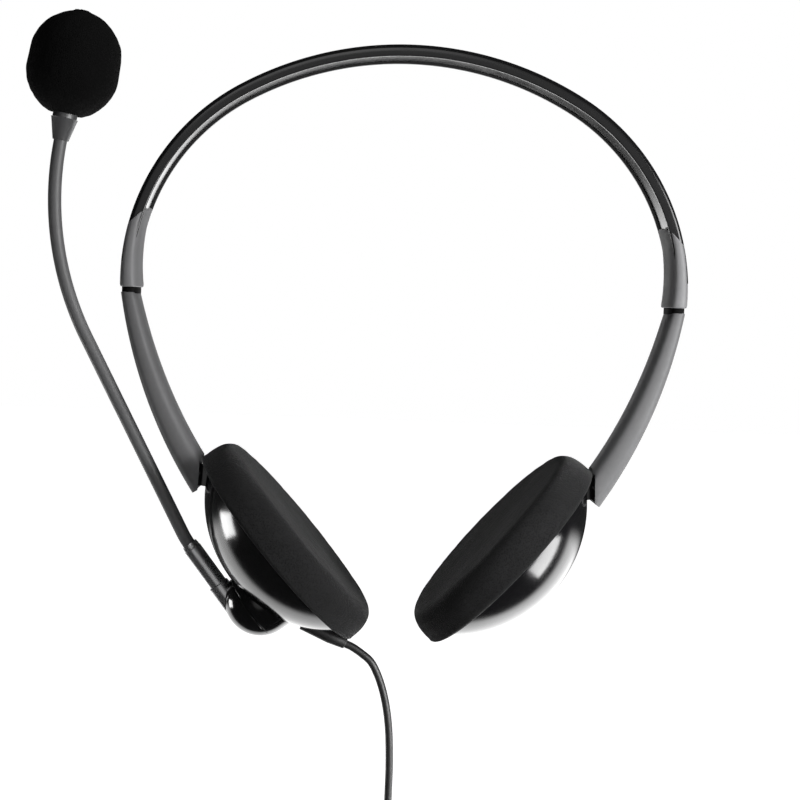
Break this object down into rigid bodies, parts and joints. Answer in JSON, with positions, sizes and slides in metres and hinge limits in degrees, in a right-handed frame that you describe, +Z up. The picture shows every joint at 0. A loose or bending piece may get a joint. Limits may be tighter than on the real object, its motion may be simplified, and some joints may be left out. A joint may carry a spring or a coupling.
{
  "type": "headset microphone",
  "caption": "Over-the-head stereo headset: sprung headband with sliding arms, tilting foam-padded ear cups and a swinging boom microphone on one cup.",
  "frame": {"origin": "midway between the centres of the two ear pads' faces, where the wearer's head is held", "axes": "+Z up to the crown of the headband, the wearer faces -Y, +X to the wearer's left; the microphone is on the -X cup"},
  "size_m": [0.1811, 0.0644, 0.3067],
  "materials": {
    "gloss_band": "gloss",
    "liner": "satin",
    "wire": "matte",
    "satin_sleeve": "satin",
    "dark_guide": "matte",
    "steel_strip": "brushed",
    "satin_arm": "satin",
    "steel_pin": "satin",
    "gloss_shell": "gloss",
    "matte_baffle": "matte",
    "driver_steel": "satin",
    "magnet": "plated",
    "diaphragm": "translucent film",
    "screw_steel": "zinc plated",
    "ear_foam": "open-cell foam",
    "boom_socket": "satin",
    "boom_skin": "satin",
    "boom_collar": "satin",
    "capsule_metal": "satin",
    "mic_foam": "open-cell foam",
    "cord_rubber": "matte",
    "cord_jacket": "matte",
    "tie": "matte",
    "plug_grip": "matte",
    "gold": "gold plated",
    "plug_ring": "satin"
  },
  "bodies": {
    "headband": {"headband": "gloss_band", "headband_liner": "liner", "crossover_wire": "wire", "right_sleeve": "satin_sleeve", "left_sleeve": "satin_sleeve", "right_guide": "dark_guide", "left_guide": "dark_guide"},
    "right_arm": {"right_arm": "satin_arm", "right_slider": "steel_strip", "right_hinge_pin": "steel_pin"},
    "left_arm": {"left_arm": "satin_arm", "left_slider": "steel_strip", "left_hinge_pin": "steel_pin"},
    "right_cup": {"right_shell": "gloss_shell", "right_baffle": "matte_baffle", "right_driver_frame": "driver_steel", "right_driver_magnet": "magnet", "right_diaphragm": "diaphragm", "right_screws": "screw_steel", "right_pad": "ear_foam", "strain_relief": "cord_rubber", "cord_lead": "cord_jacket", "cord_coil": "cord_jacket", "coil_tie": "tie", "cord_tail": "cord_jacket", "plug_handle": "plug_grip", "plug_contacts": "gold", "plug_insulators": "plug_ring"},
    "left_cup": {"left_shell": "gloss_shell", "left_baffle": "matte_baffle", "left_driver_frame": "driver_steel", "left_driver_magnet": "magnet", "left_diaphragm": "diaphragm", "left_screws": "screw_steel", "left_pad": "ear_foam"},
    "boom": {"boom_hub": "gloss_shell", "boom_washer": "screw_steel", "boom_screw": "screw_steel", "boom_socket": "boom_socket", "boom_tube": "boom_skin", "capsule_holder": "boom_collar", "mic_capsule": "capsule_metal", "windscreen": "mic_foam"}
  },
  "joints": [
    {"name": "right_slide", "type": "slide", "parent": "headband", "child": "right_arm", "axis": [-0.1132, 0, -0.9936], "range_m": [0, 0.016]},
    {"name": "left_slide", "type": "slide", "parent": "headband", "child": "left_arm", "axis": [0.1132, 0, -0.9936], "range_m": [0, 0.016]},
    {"name": "right_tilt", "type": "hinge", "parent": "right_arm", "child": "right_cup", "pos_m": [-0.05496, 0, 0.01626], "axis": [0, 1, 0], "range_deg": [-3, 12]},
    {"name": "left_tilt", "type": "hinge", "parent": "left_arm", "child": "left_cup", "pos_m": [0.05496, 0, 0.01626], "axis": [0, -1, 0], "range_deg": [-3, 12]},
    {"name": "boom_pivot", "type": "hinge", "parent": "right_cup", "child": "boom", "pos_m": [-0.04164, 0, -0.0223], "axis": [0.7902, 0, 0.6129], "range_deg": [0, 130]}
  ]
}
